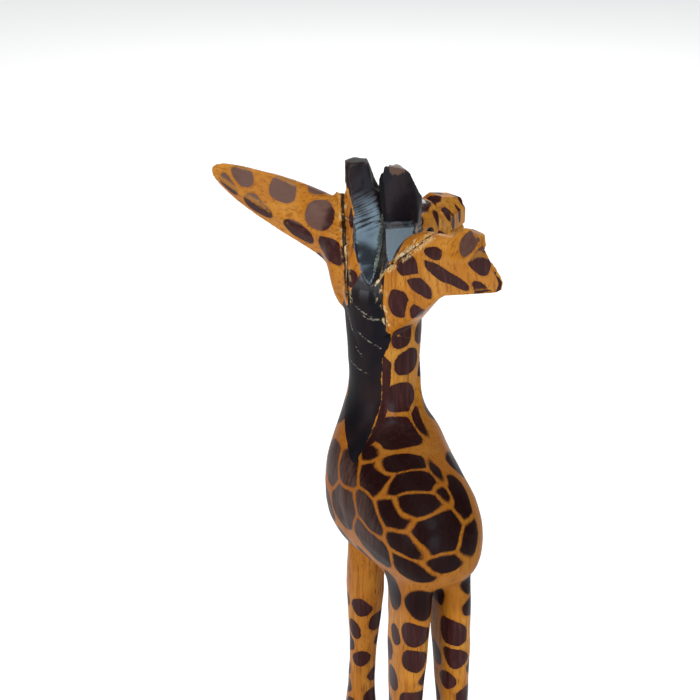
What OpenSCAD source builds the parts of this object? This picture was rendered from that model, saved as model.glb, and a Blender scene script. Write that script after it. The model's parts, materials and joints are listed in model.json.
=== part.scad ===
// A carved and painted giraffe standing on its own four hooves.
// The body faces -Y and its left side is +X. The neck and head turn to the giraffe's right.
// Millimetres, +Z up. The origin is at the bottom centre of the whole statue.

/* [Body] */
// Length of the body from chest to rump
body_length = 72; // [68:1:80]
// Width of the body across the shoulders
body_width = 42; // [40:1:46]
// Depth of the body from back to belly
body_depth = 56; // [52:1:60]
// Height of the middle of the body above the soles
body_height = 176; // [170:1:180]
// How far the body drops from the chest to the rump
body_slope = 4; // [0:1:8]

/* [Legs] */
// Distance between the front and hind hooves
leg_spacing = 42; // [40:1:46]
// Distance between the middles of the left and right hooves
leg_track = 18; // [17:1:21]
// Width of a leg at its thinnest
leg_width = 8.4; // [7:0.2:10]
// Width of a hoof
hoof_width = 12.5; // [11:0.5:14]

/* [Neck and head] */
// Width of the neck at its thinnest
neck_width = 24; // [22:1:26]
// How far the neck stands in front of the middle of the body
neck_forward = 22; // [20:1:24]
// Height of the middle of the head above the soles
head_height = 262; // [258:1:268]
// Length of the head from the nape to the nostrils
head_length = 45; // [43:1:50]
// How far the neck and head are turned to the right
head_turn = 63; // [0:1:70]
// Thickness of the head between the glued faces of the ears
head_board = 17; // [16:0.5:18]

/* [Ears] */
// Length of an ear from its glued face to its tip
ear_length = 57; // [50:1:60]
// Widest part of an ear across the leaf
ear_width = 21; // [18:1:23]
// How far the ears sweep back
ear_sweep = 17; // [10:1:20]
// How far the ears tilt up
ear_tilt = 14; // [10:1:18]
// Length of the glued face of an ear along the head
ear_root_length = 19; // [17:1:20]

/* [Horns] */
// Height of the tops of the horns above the middle of the head
horn_top = 28; // [26:1:32]
// Distance between the middles of the two horn tops
horn_spread = 17; // [15:0.5:18]
// Width of a horn
horn_width = 6.6; // [6:0.2:7]

/* [Joinery] */
// Diameter of the dowel inside each ear joint
dowel_diameter = 5; // [4:0.5:5]
// Length of the dowel inside each ear joint
dowel_length = 12; // [10:1:13]
// Diameter of the round tenon under each horn
tenon_diameter = 4.5; // [4:0.5:5]
// Length of the round tenon under each horn
tenon_length = 7; // [6:0.5:7.5]
// Width of the filled groove along each glued seam
seam_width = 2.2; // [1.8:0.2:2.6]
// Thickness of a glue line
glue_line = 0.1; // [0.1:0.05:0.2]

/* [Hidden] */

honey = "#c8862f";
black = "#1e1a1a";
filler_tan = "#b7a176";

across = [1, 0, 0];
back = [0, 1, 0];
up = [0, 0, 1];
sides = 28;

neck_place = [2.5, -neck_forward, head_height];
seat_x = head_board / 2;
horn_seat = 9;
horn_foot_x = 5.2;
horn_step_back = 2.5;
ear_line_z = -1;
ear_power = 0.85;
dowel_z = -4;
tenon_lap = 1;
seat_depth = 14;
horn_platform = 32;
seam_back = 8.6;
seam_middle = -6;
seam_height = 20;
seam_lean = 4;
groove_front = 4;
groove_depth = 4.6;
groove_foot = -6;
groove_height = 22;
hoof_height = 10;
hoof = hoof_width / leg_width;
fit = 0.1;
steps = 3;
body_power = 0.86;
boxy = 0.9;

// Body sections from chest to rump: place along it, rise, half depth and half width, as
// fractions of the length, depth, depth and width, and a step to the left
body_sections = [
    [-0.50, -0.05, 0.07, 0.06, 1], [-0.47, -0.04, 0.22, 0.22, 1], [-0.41, -0.01, 0.40, 0.40, 1],
    [-0.28, 0.02, 0.52, 0.51, 1], [-0.10, 0.01, 0.47, 0.49, 1], [0.08, 0.01, 0.405, 0.455, 0.6],
    [0.24, 0.03, 0.34, 0.42, 0], [0.37, 0.03, 0.28, 0.36, 0], [0.46, 0.02, 0.19, 0.25, 0],
    [0.50, 0.01, 0.06, 0.07, 0]];

// Neck sections from inside the shoulders up into the head: steps left and forward from the
// head's place, height above the soles, half width and half depth in half neck widths
neck_sections = [
    [0.5, -6, body_height + 2, 1.4, 1.7], [0.5, -4, body_height + 14, 1.36, 1.5],
    [-1, -1, body_height + 24, 1.2, 1.2], [-2, 0, body_height + 35, 1.03, 1.03],
    [-2, 0, body_height + 48, 1, 1], [-1.4, 0, head_height - 24, 1.05, 1.02],
    [-0.4, 0, head_height - 12, 1.08, 1.04], [0, 0, head_height, 1, 0.9]];

// Head sections from the nostrils to the nape: place along the head, rise, half height and
// half width, as fractions of the head's length
head_sections = [
    [-0.82, 0.02, 0.07, 0.07], [-0.80, 0.02, 0.15, 0.14], [-0.73, 0.025, 0.20, 0.19],
    [-0.62, 0.03, 0.205, 0.195], [-0.49, 0.03, 0.19, 0.17], [-0.34, 0.025, 0.225, 0.20],
    [-0.17, 0.01, 0.27, 0.24], [0.00, -0.01, 0.29, 0.26], [0.13, -0.01, 0.26, 0.245],
    [0.21, -0.01, 0.15, 0.15]];

// Leg sections from the sole up: height above the sole, step back and step outwards from the
// hoof, half width and half depth in half leg widths
front_leg_sections = [
    [0, 0, 0, hoof, hoof], [hoof_height * 0.8, 0.2, 0, 0.84 * hoof, 0.82 * hoof],
    [hoof_height * 1.4, 0.8, 0, 1.05, 1.1], [hoof_height * 2.6, 1, 0, 1, 1.02],
    [58, 0.6, 0, 1.02, 1.1], [72, 0, 0, 1.2, 1.4], [86, 0.4, 0, 1.08, 1.2],
    [115, 1, -0.5, 1.15, 1.4], [138, 1.2, -1.4, 1.25, 1.8], [152, 1, -2, 1.3, 2.2],
    [166, 1, -2, 1.2, 2.2]];
hind_leg_sections = [
    [0, 0, 0, hoof, hoof], [hoof_height * 0.8, 0.2, 0, 0.84 * hoof, 0.82 * hoof],
    [hoof_height * 1.4, 0.8, 0, 1.05, 1.1], [hoof_height * 2.6, 1.4, 0, 1, 1.02],
    [58, 2.6, 0, 1.02, 1.15], [74, 3.4, 0, 1.18, 1.55], [88, 1.8, 0, 1.1, 1.45],
    [115, -0.5, -0.5, 1.2, 2], [138, -1.5, -1.4, 1.3, 2.8], [154, -2, -2, 1.35, 3.2],
    [166, -2.5, -2, 1.2, 2.8]];

// Ear sections from the glued face to the tip: share of the ear's length, rise above the line
// of the ear, half height in half ear widths and half thickness in half root lengths
left_ear_sections = [
    [0.00, -9, 1.50, 1], [0.05, -8.6, 1.48, 0.98], [0.12, -5, 1.32, 0.84], [0.22, -0.6, 1.08, 0.6],
    [0.40, 0.4, 0.99, 0.44], [0.58, 0.6, 0.87, 0.37], [0.76, 0.6, 0.69, 0.3],
    [0.89, 0.8, 0.50, 0.21], [0.97, 1.2, 0.28, 0.11], [1.00, 1.4, 0.07, 0.04]];
right_ear_sections = [
    [0.00, -9.5, 1.56, 1], [0.05, -9.2, 1.54, 0.98], [0.12, -6.4, 1.4, 0.9],
    [0.22, -2.2, 1.16, 0.7], [0.36, 0, 1.02, 0.5], [0.56, 1, 0.95, 0.4],
    [0.76, 1, 0.84, 0.33], [0.89, 0.4, 0.64, 0.25], [0.97, -0.6, 0.34, 0.14],
    [1.00, -1.2, 0.08, 0.04]];

// Horn sections from the foot to the top: share of the height, half width and half depth in
// half horn widths, power of the outline and step back
horn_sections = [[0, 1, 2.4, 0.6, -3.5], [0.4, 1.02, 1.9, 0.6, -1.5],
                 [0.85, 1.08, 1.3, 0.6, 0.8], [1, 0.95, 1.05, 0.7, 1]];

// A smooth curve through four values, with u from 0 at b to 1 at c
function blend(a, b, c, d, u) =
    b + (c - a) * u / 2 + (2 * a - 5 * b + 4 * c - d) * u * u / 2
    + (3 * b - a - 3 * c + d) * u * u * u / 2;

// The section at place t along a list, where whole numbers are the list's own entries
function section_at(list, t) =
    let (last = len(list) - 1, i = min(floor(t), last - 1))
    blend(list[max(i - 1, 0)], list[i], list[i + 1], list[min(i + 2, last)], t - i);

// The list with its curve's sections between each pair of its own
function smoothed(list) =
    [for (k = [0 : steps * (len(list) - 1)]) section_at(list, k / steps)];

// A rounded outline about a centre: power 1 is an ellipse and a smaller power is boxier
function ring(centre, u, v, half_u, half_v, power) =
    [for (i = [0 : sides - 1])
        let (c = cos(360 * i / sides), s = sin(360 * i / sides))
        centre + u * half_u * sign(c) * pow(abs(c), power)
            + v * half_v * sign(s) * pow(abs(s), power)];

// A closed skin over a list of rings
module loft(rings) {
    last = len(rings) - 1;
    walls = [for (k = [0 : last - 1]) for (i = [0 : sides - 1])
        let (j = (i + 1) % sides)
        [k * sides + i, (k + 1) * sides + i, (k + 1) * sides + j, k * sides + j]];
    ends = [[for (i = [0 : sides - 1]) i], [for (i = [sides - 1 : -1 : 0]) last * sides + i]];
    polyhedron([for (r = rings) each r], concat(walls, ends), convexity = 6);
}

function turned(p, angle) =
    [p[0] * cos(angle) - p[1] * sin(angle), p[0] * sin(angle) + p[1] * cos(angle), p[2]];

body_rings = [for (s = smoothed(body_sections))
    ring([s[4], s[0] * body_length, body_height + s[1] * body_depth - s[0] * body_slope], up,
         across, s[2] * body_depth, s[3] * body_width, body_power)];

ear_reach = [cos(ear_sweep) * cos(ear_tilt), sin(ear_sweep) * cos(ear_tilt), sin(ear_tilt)];

function ear_rings(sections) = [for (s = smoothed(sections))
    ring([seat_x + glue_line, 0, ear_line_z + s[1]] + ear_reach * s[0] * ear_length,
         back, up, s[3] * ear_root_length / 2, s[2] * ear_width / 2, ear_power)];
left_ear_rings = ear_rings(left_ear_sections);
right_ear_rings = ear_rings(right_ear_sections);

head_rings = [for (s = smoothed(head_sections) * head_length)
    ring([0, s[0], s[1]], up, across, s[2], s[3], boxy)];

// The statue's reach along X and Y, from the body, the head and the two ears
reach_points = concat([for (r = body_rings) each r],
    [for (r = concat(left_ear_rings, head_rings)) for (p = r)
        neck_place + turned(p, -head_turn)],
    [for (r = right_ear_rings) for (p = r)
        neck_place + turned([-p[0], p[1], p[2]], -head_turn)]);
reach_x = [for (p = reach_points) p[0]];
reach_y = [for (p = reach_points) p[1]];
middle = [(min(reach_x) + max(reach_x)) / 2, (min(reach_y) + max(reach_y)) / 2, 0];

module on_origin() translate(-middle) children();

module in_head() on_origin() translate(neck_place) rotate([0, 0, -head_turn]) children();

module leg(sections, side, place_y) {
    loft([for (s = smoothed(sections))
        ring([side * (leg_track / 2 + s[2]), place_y + s[1], s[0]], across, back,
             s[3] * leg_width / 2, s[4] * leg_width / 2, boxy)]);
}

module legs() {
    for (side = [1, -1]) {
        leg(front_leg_sections, side, -leg_spacing / 2);
        leg(hind_leg_sections, side, leg_spacing / 2);
    }
}

module neck() {
    loft([for (s = smoothed(neck_sections))
        ring([neck_place[0] + s[0], neck_place[1] - s[1], s[2]], across, back,
             s[3] * neck_width / 2, s[4] * neck_width / 2, 1)]);
}

module head() {
    loft(head_rings);
}

// The space that an ear's root fills, out from its glued face
module ear_seat(rings) {
    outline = [for (p = rings[0]) [p[1], p[2]]];
    translate([seat_x, 0, 0]) rotate([90, 0, 90]) linear_extrude(seat_depth)
        offset(delta = fit) polygon(outline);
}

module dowel(gap) {
    translate([seat_x - dowel_length / 2 - gap, 0, dowel_z]) rotate([0, 90, 0])
        cylinder(d = dowel_diameter + 2 * gap, h = dowel_length + 2 * gap, $fn = 32);
}

module tenon(gap) {
    translate([horn_foot_x, horn_step_back, horn_seat - tenon_length - gap])
        cylinder(d = tenon_diameter + 2 * gap, h = tenon_length + gap + tenon_lap, $fn = 32);
}

// A strip of filler pressed into the groove at the back of an ear's seam
module ear_seam_strip(gap) {
    size = seam_width + 2 * gap;
    translate([seat_x, seam_back, seam_middle]) rotate([seam_lean, 0, 0])
        cube([size, size, seam_height + 2 * gap], center = true);
}

// The filler that closes the groove down the nape and the foot of the gap between the horns
module horn_seam_strip(gap) {
    translate([-seam_width / 2 - gap, groove_front - gap, groove_foot - gap])
        cube([seam_width + 2 * gap, groove_depth + 2 * gap, groove_height + 2 * gap]);
}

module trunk() {
    color(honey) difference() {
        union() {
            on_origin() {
                loft(body_rings);
                neck();
                legs();
            }
            in_head() head();
        }
        in_head() {
            ear_seat(left_ear_rings);
            mirror([1, 0, 0]) ear_seat(right_ear_rings);
            for (side = [0, 1]) mirror([side, 0, 0]) {
                dowel(fit);
                tenon(fit);
                ear_seam_strip(fit);
            }
            horn_seam_strip(fit);
            translate([-seat_x - seat_depth, -horn_platform / 2, horn_seat])
                cube([2 * (seat_x + seat_depth), horn_platform, seat_depth]);
        }
    }
}

module ear(rings) {
    difference() {
        loft(rings);
        dowel(fit);
        ear_seam_strip(fit);
    }
}

module left_ear() color(honey) in_head() ear(left_ear_rings);
module right_ear() color(honey) in_head() mirror([1, 0, 0]) ear(right_ear_rings);
module left_ear_dowel() color(filler_tan) in_head() dowel(0);
module right_ear_dowel() color(filler_tan) in_head() mirror([1, 0, 0]) dowel(0);
module left_ear_seam_filler() color(filler_tan) in_head() ear_seam_strip(0);
module right_ear_seam_filler() color(filler_tan) in_head() mirror([1, 0, 0]) ear_seam_strip(0);
module horn_seam_filler() color(filler_tan) in_head() horn_seam_strip(0);

module horn() {
    loft([for (s = horn_sections)
        ring([horn_foot_x + s[0] * (horn_spread / 2 - horn_foot_x), horn_step_back + s[4],
              horn_seat + glue_line + s[0] * (horn_top - horn_seat)], across, back,
             s[1] * horn_width / 2, s[2] * horn_width / 2, s[3])]);
    tenon(0);
}

module left_horn() color(black) in_head() horn();
module right_horn() color(black) in_head() mirror([1, 0, 0]) horn();

trunk();
left_ear();
right_ear();
left_ear_dowel();
right_ear_dowel();
left_horn();
right_horn();
horn_seam_filler();
left_ear_seam_filler();
right_ear_seam_filler();
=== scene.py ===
import json
import math
import random

import bmesh
import bpy
import numpy as np
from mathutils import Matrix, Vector
from mathutils.bvhtree import BVHTree


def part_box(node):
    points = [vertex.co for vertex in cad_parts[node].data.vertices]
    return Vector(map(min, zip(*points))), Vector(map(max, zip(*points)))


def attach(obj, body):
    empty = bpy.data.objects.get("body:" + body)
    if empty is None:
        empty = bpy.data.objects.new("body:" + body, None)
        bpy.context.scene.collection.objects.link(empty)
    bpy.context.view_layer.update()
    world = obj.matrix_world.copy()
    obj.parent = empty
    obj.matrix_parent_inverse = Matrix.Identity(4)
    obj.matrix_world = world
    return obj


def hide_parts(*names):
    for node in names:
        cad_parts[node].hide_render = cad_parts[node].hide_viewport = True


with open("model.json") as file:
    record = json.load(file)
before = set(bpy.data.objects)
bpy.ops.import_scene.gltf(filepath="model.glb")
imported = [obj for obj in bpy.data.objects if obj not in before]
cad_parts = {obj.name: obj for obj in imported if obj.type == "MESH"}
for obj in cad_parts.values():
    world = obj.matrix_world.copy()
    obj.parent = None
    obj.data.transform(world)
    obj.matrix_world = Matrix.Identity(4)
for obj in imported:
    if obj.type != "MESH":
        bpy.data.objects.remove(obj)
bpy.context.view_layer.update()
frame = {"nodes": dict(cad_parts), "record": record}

# The statue's own places, worked out from the frame. Lengths below are in millimetres, in one
# of two frames: the head's (X to its left, Y to its back, Z up) or the body's, which has the
# row's directions and has the left hind sole at SOLE. The neck stands round the upright line at
# NECK_X, NECK_Y of the body's frame. The ear dowels lie DOWEL_DROP below the head's origin.
MM = 0.001
SOLE = np.array([9.0, 21.0, 0.0])
NECK_X, NECK_Y = 1.0, -22.0
DOWEL_DROP = 4.0


def middle_of(node):
    low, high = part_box(node)
    return np.array((low + high) / 2)


left_dowel = middle_of("left_ear_dowel")
right_dowel = middle_of("right_ear_dowel")
head_left = (left_dowel - right_dowel) / np.linalg.norm(left_dowel - right_dowel)
head_up = np.array([0.0, 0.0, 1.0])
head_axes = np.array([head_left, np.cross(head_up, head_left), head_up])
head_place = (left_dowel + right_dowel) / 2 / MM + DOWEL_DROP * head_up
body_place = np.array(frame["record"]["mounts"][0]["pos_m"]) / MM - SOLE


def to_head(points):
    """Row metres to the head's millimetres."""
    return (points / MM - head_place) @ head_axes.T


def from_head(points):
    return (np.asarray(points) @ head_axes + head_place) * MM


def to_body(points):
    """Row metres to the body's millimetres."""
    return points / MM - body_place


def from_body(points):
    return (np.asarray(points) + body_place) * MM


# ---- Camera and lights
# The camera looks at AIM, with the statue a little to one side of the middle of the view
AZIMUTH = math.radians(160)
ELEVATION = math.radians(28)
DISTANCE = 560.0
LENS = 86.4
AIM = np.array([NECK_X, NECK_Y, 220.0])
AIM_RIGHT, AIM_UP = 11.33, 3.33

camera_back = np.array([
    math.sin(AZIMUTH) * math.cos(ELEVATION),
    -math.cos(AZIMUTH) * math.cos(ELEVATION),
    math.sin(ELEVATION),
])
camera_right = np.array([math.cos(AZIMUTH), math.sin(AZIMUTH), 0.0])
camera_up = np.cross(camera_back, camera_right)
camera_place = AIM + camera_back * DISTANCE - camera_right * AIM_RIGHT + camera_up * AIM_UP

camera_data = bpy.data.cameras.new("camera")
camera_data.sensor_width = 36.0
camera_data.lens = LENS
camera_data.clip_start = 0.01
camera = bpy.data.objects.new("camera", camera_data)
camera.location = Vector(from_body(camera_place))
camera.rotation_euler = Vector(camera_back).to_track_quat("Z", "Y").to_euler()
bpy.context.collection.objects.link(camera)
bpy.context.scene.camera = camera


BODY_MIDDLE, HEAD_BACK = (0, -10, 200), (0, -10, 250)
DAYLIGHT, WARM, BLUE = (0.90, 0.95, 1.0), (1.0, 0.98, 0.95), (0.55, 0.80, 1.0)
DEEPER_BLUE = (0.50, 0.78, 1.0)


def area_light(name, direction, distance, width, height, power, colour, target=BODY_MIDDLE):
    """A soft box at a distance (mm) in a direction from the target, facing it."""
    data = bpy.data.lights.new(name, "AREA")
    data.shape = "RECTANGLE"
    data.size = width * MM
    data.size_y = height * MM
    data.energy = power
    data.color = colour
    light = bpy.data.objects.new(name, data)
    away = Vector(direction).normalized()
    light.location = Vector(from_body(target)) + away * distance * MM
    light.rotation_euler = away.to_track_quat("Z", "Y").to_euler()
    bpy.context.collection.objects.link(light)


area_light("overhead", (0.1, 0.15, 1.0), 1100, 1300, 1300, 7.6, WARM)
area_light("window_left", (0.93, 0.33, 0.22), 900, 500, 600, 3.6, DAYLIGHT)
# Two blue windows, which the black facets below the horns reflect
area_light("window_behind", (0.05, 1.0, 0.12), 900, 300, 520, 5.0, BLUE, HEAD_BACK)
area_light("window_high", (0.04, 0.66, 0.74), 900, 300, 280, 2.6, DEEPER_BLUE, HEAD_BACK)
area_light("fill", (-0.4, -1.0, 0.5), 1000, 700, 700, 4.5, WARM)

world = bpy.data.worlds.new("world")
bpy.context.scene.world = world
world.use_nodes = True
sky = world.node_tree.nodes["Background"].inputs
sky["Color"].default_value = (0.97, 0.98, 1.0, 1.0)
sky["Strength"].default_value = 0.20
bpy.context.scene.view_settings.view_transform = "Standard"


# ---- Mesh tools
def linked(name, mesh):
    piece = bpy.data.objects.new(name, mesh)
    bpy.context.collection.objects.link(piece)
    return piece


def coordinates(mesh):
    flat = np.empty(len(mesh.vertices) * 3)
    mesh.vertices.foreach_get("co", flat)
    return flat.reshape(-1, 3)


def normals(mesh):
    flat = np.empty(len(mesh.vertices) * 3)
    mesh.vertex_normals.foreach_get("vector", flat)
    return flat.reshape(-1, 3)


def set_coordinates(mesh, points):
    mesh.vertices.foreach_set("co", points.ravel())
    mesh.update()


def with_modifier(piece, kind, **settings):
    """Adds a modifier, applies it and leaves the piece with the new mesh."""
    modifier = piece.modifiers.new("work", kind)
    for key, value in settings.items():
        setattr(modifier, key, value)
    graph = bpy.context.evaluated_depsgraph_get()
    mesh = bpy.data.meshes.new_from_object(piece.evaluated_get(graph))
    piece.modifiers.clear()
    piece.data = mesh


def wander(points, size, seed, waves=9):
    """Smooth noise from -1 to 1 over points in mm, with bumps of about the given size."""
    rng = random.Random(seed)
    total = np.zeros(len(points))
    for _ in range(waves):
        way = np.array([rng.gauss(0, 1) for _ in range(3)])
        way *= math.tau / size * rng.uniform(0.6, 1.3) / np.linalg.norm(way) / 2
        total += np.sin(points @ way + rng.uniform(0, math.tau))
    return total / math.sqrt(waves) / 1.5


def ramp(value, low, high):
    """0 below low, 1 above high, smooth between."""
    t = np.clip((value - low) / (high - low), 0, 1)
    return t * t * (3 - 2 * t)


def along(path, z):
    """The points of a path, given from top to bottom, at heights z."""
    path = np.array(sorted(path, key=lambda p: p[-1]))
    return [np.interp(z, path[:, -1], path[:, k]) for k in range(path.shape[1] - 1)]


def convex(corners):
    """A closed convex mesh round the corners."""
    bm = bmesh.new()
    for corner in corners:
        bm.verts.new(corner)
    bmesh.ops.convex_hull(bm, input=bm.verts)
    return bm


# ---- The carved blank
# The glued pieces are carved as one, then parted again at their seams.
CARVED = ["trunk", "left_ear", "right_ear", "left_horn", "right_horn", "left_ear_dowel",
          "right_ear_dowel", "left_ear_seam_filler", "right_ear_seam_filler"]
VOXEL = 0.75
# Convex lumps of wood, by their corners: what fills the groove of the horns' filler, the web
# between the horns, the right horn, the slope up to the left horn, and the right ear's corners
EXTRA_WOOD = [
    [(x, y, z) for x in (-1.6, 1.6) for y in (0, 8.9) for z in (-7, 9.5)],
    [(6.8, 5.6, 28.2), (3.6, 2.4, 28.2), (8.4, -2, 28), (1.8, 2.2, 21.0), (6.6, -4, 21),
     (6.4, 7.2, 20), (6, 7.6, 12), (2, 3, 12), (7, -4, 12)],
    [(1.6, 2.0, 19.8), (-2.6, 1.4, 16.6), (5, -3, 18.6), (3, -5, 16.6), (-2.6, 2.4, 12),
     (-2, 4, 6), (5.6, 8, 18), (5, 8.4, 12), (4.2, 9, 6), (4, -5, 6), (-2, -5, 6)],
    [(-3.6, -7, 15.4), (-3.6, 1, 15.4), (0, -7, 16), (0, 1, 16), (0, -7, 6), (-3.6, -7, 6),
     (0, 3, 6), (-3.6, 3, 6)],
    [(-4.6, 4.9, 30.0), (-10.2, -1.8, 27.8), (-10.4, 1.6, 28.4), (-4.8, -1.6, 29.6),
     (-5.8, 5.2, 18), (-8.6, 2.6, 18), (-11.5, -3, 18), (-11.2, -7.2, 18), (-5.4, -7.2, 18),
     (-6.8, 5.2, 8), (-9.5, 3.5, 6), (-12.0, -2, 6), (-10.0, -8.6, 8), (-5.0, -8.6, 6)],
    [(7.6, 6.4, 19.6), (7.6, -2, 18), (18.8, 2.0, 13.8), (18.8, -3, 12.6), (6, 7, 8), (15, 5, 6),
     (6, -4, 6), (18, -3, 6)],
    [(-60.4, 16.4, 12.4), (-59.8, 16.4, 9.0), (-48, 14.2, 3.2), (-40, 12, 2), (-44, 13.4, 14),
     (-56, 15.4, 18), (-60.0, 12, 12.4), (-59.4, 12, 9.4), (-48, 9, 4), (-40, 7, 4), (-44, 8, 14),
     (-55, 11, 17)],
    [(-40.5, 8.8, 21.6), (-47.6, 10.6, 22.2), (-52, 12.0, 21.2), (-55.2, 13.8, 18.8),
     (-50, 14, 16.5), (-44, 13.2, 13), (-34, 10, 14), (-40, 3.0, 19.0), (-47, 4.6, 19.6),
     (-52, 7, 17.6), (-33, 3, 13)],
    [(-31, 9.2, -5.5), (-36.5, 10.3, -1.0), (-25.5, 3, -4), (-31, 4, -1), (-12, 9.6, -4),
     (-12, -3, -4), (-15, 6, -21), (-17, -2, -21.5), (-12, -8, -22), (-9, 8, -27), (-9, -7, -28),
     (-23, 6.5, -13), (-23, 0, -13)],
]


def block(low, high):
    corners = [(x, y, z) for x in (low[0], high[0]) for y in (low[1], high[1])
               for z in (low[2], high[2])]
    return from_head(corners)


def blank():
    """The CAD solids and the extra wood, merged into one skin and smoothed."""
    bm = bmesh.new()
    for node in CARVED:
        bm.from_mesh(frame["nodes"][node].data)
    for corners in EXTRA_WOOD:
        mesh = bpy.data.meshes.new("extra_wood")
        convex(from_head(corners)).to_mesh(mesh)
        bm.from_mesh(mesh)
    mesh = bpy.data.meshes.new("blank")
    bm.to_mesh(mesh)
    piece = linked("blank", mesh)
    with_modifier(piece, "REMESH", mode="VOXEL", voxel_size=VOXEL * MM)
    keep_largest(piece)
    with_modifier(piece, "SMOOTH", factor=0.5, iterations=3)
    soften(piece)
    return piece


def soften(piece):
    """Rounds the places where the neck, the nape, the legs and the right ear grow out."""
    points = coordinates(piece.data)
    h, body = to_head(points), to_body(points)
    x, y, z = body.T
    from_neck = np.hypot(x - NECK_X, y - NECK_Y)
    neck = ramp(-from_neck, -30, -22) * ramp(z, 176, 190) * ramp(-z, -222, -212)
    legs = ramp(z, 130, 142) * ramp(-z, -168, -156)
    nape = ramp(-np.abs(h[:, 0]), -12, -9) * ramp(h[:, 1], 2, 5) * ramp(-np.abs(h[:, 2]), -8, -4)
    root = ramp(-h[:, 0], 9, 13) * ramp(h[:, 2], -48, -42) * ramp(-h[:, 2], 1, 8)
    share = np.maximum.reduce([neck, 0.7 * legs, nape, 0.3 * root])
    smooth_where(piece, share, times=140)


def smooth_where(piece, share, times):
    """Smooths the mesh by the share, from 0 to 1, that each of its points has."""
    group = piece.vertex_groups.new(name="soft")
    steps = np.round(share * 10).astype(int)
    for step in range(1, 11):
        group.add(np.flatnonzero(steps == step).tolist(), step / 10, "REPLACE")
    with_modifier(piece, "SMOOTH", factor=0.9, iterations=times, vertex_group="soft")
    piece.vertex_groups.clear()


def keep_largest(piece):
    """Drops loose scraps of mesh, so that one closed shell is left."""
    bm = bmesh.new()
    bm.from_mesh(piece.data)
    bm.verts.ensure_lookup_table()
    seen = np.zeros(len(bm.verts), bool)
    shells = []
    for vert in bm.verts:
        if seen[vert.index]:
            continue
        seen[vert.index] = True
        shell, edge = [vert], [vert]
        while edge:
            step = edge.pop()
            for link in step.link_edges:
                other = link.other_vert(step)
                if not seen[other.index]:
                    seen[other.index] = True
                    shell.append(other)
                    edge.append(other)
        shells.append(shell)
    shells.sort(key=len)
    bmesh.ops.delete(bm, geom=[v for shell in shells[:-1] for v in shell], context="VERTS")
    bm.to_mesh(piece.data)


def refine(piece):
    """Doubles the mesh round the head, where the small facets and seams are."""
    bm = bmesh.new()
    bm.from_mesh(piece.data)
    local = to_head(np.array([v.co for v in bm.verts]))
    near = (local[:, 2] > -34) & (np.abs(local[:, 0]) < 30)
    bm.edges.ensure_lookup_table()
    chosen = [e for e in bm.edges if near[e.verts[0].index] and near[e.verts[1].index]]
    bmesh.ops.subdivide_edges(bm, edges=chosen, cuts=1, use_grid_fill=True)
    bmesh.ops.triangulate(bm, faces=[f for f in bm.faces if len(f.verts) > 4])
    bm.to_mesh(piece.data)


# ---- The carving
# The notch between the horns runs down the back of the head: middle X, depth Y and the
# slopes of its left and right walls, against height
NOTCH = [(-1.4, -6.0, 1.5, 3.3, 29), (-2.2, -3.0, 1.25, 2.1, 18), (-2.4, 0.0, 1.08, 1.1, 10),
         (-2.8, 2.0, 1.16, 0.9, 4), (-3.3, 3.7, 1.32, 0.75, 0), (-3.9, 5.6, 1.5, 0.7, -3),
         (-4.6, 7.6, 1.7, 0.6, -6), (-5.6, 11.2, 1.8, 0.6, -9.5), (-5.6, 16.0, 1.8, 0.6, -13)]
# Where the two facets at the right horn's foot meet
HORN_FOOT = (-4.8, 4.0, 10.7)
# The ridge along the back of each ear: distance out, depth and height
LEFT_RIDGE = [(60, 16.9, 13), (50, 15.6, 9.6), (40, 13.4, 6), (28, 11.2, 3), (17, 10, 2)]
RIGHT_RIDGE = [(60, 16.2, 20.5), (54, 15.0, 19.4), (50.4, 14.5, 17.3), (44.2, 13.7, 13.1),
               (36, 12.6, 11), (28, 11.6, 9.5), (16, 10, 6)]

# The left ear is glued to an upright face that looks left and back. The right ear is glued to
# a face that is upright low down and leans outwards above its bend.
LEFT_WAY = np.array([0.72, 0.694, 0.0])
LEFT_OUT, LEFT_LEAN, LEFT_FOOT = 11.6, 0.05, -18.0
RIGHT_OUT, RIGHT_BEND, RIGHT_LEAN, RIGHT_FOOT = 9.8, -2.0, 1.05, -24.0


def seam_gaps(h):
    """How far each point is outside the glued faces of the left and right ears, in mm."""
    left = h @ LEFT_WAY - LEFT_OUT - LEFT_LEAN * h[:, 2]
    upright = -h[:, 0] - RIGHT_OUT
    leaning = (upright - RIGHT_LEAN * (h[:, 2] - RIGHT_BEND)) / math.hypot(1, RIGHT_LEAN)
    return left, np.minimum(upright, leaning)


def shave(h, place, way, where):
    """A knife's facet: takes off what stands out past the plane through the place."""
    way = np.array(way) / np.linalg.norm(way)
    over = (h - np.array(place)) @ way
    h -= np.where((over > 0) & where, over, 0)[:, None] * way


def carve_horns(h):
    """Cuts the notch between the horns, with tool marks on its left wall, and the right horn."""
    x, y, z = h.T
    # Averaged over a short height, which rounds the bends of the walls
    bends = [along(NOTCH, z + step) for step in (-3, -1.5, 0, 1.5, 3)]
    middle, depth, left_slope, right_slope = np.mean(bends, axis=0)
    side = x - middle
    wall = depth + np.where(side > 0, left_slope * side, -right_slope * side)
    marks = np.sin(math.tau * (0.57 * x + 0.82 * z) / 1.7 + 1.5 * wander(h, 6, 4))
    wall = wall + 0.10 * wander(h, 2.2, 3) + 0.09 * marks * ramp(z, 5, 9) * ramp(-z, -22, -17)
    inside = (z > -12.5) & (z < 30) & (side < 9) & (side > -8) & (y > wall)
    h[:, 1] = np.where(inside, wall, y)
    # The broad back of the right horn, and the facet that falls from it to the ear's seam
    x, y, z = h.T.copy()
    shave(h, HORN_FOOT, (-0.80, 0.60, -0.03), (z > 10.5) & (x < -1) & (x > -14.5) & (y > -6))
    x, y, z = h.T.copy()
    shave(h, HORN_FOOT, (-0.62, 0.45, 0.62),
          (z < 10.9) & (z > -4) & (x < -2) & (x > -14) & (y > -3))


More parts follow.
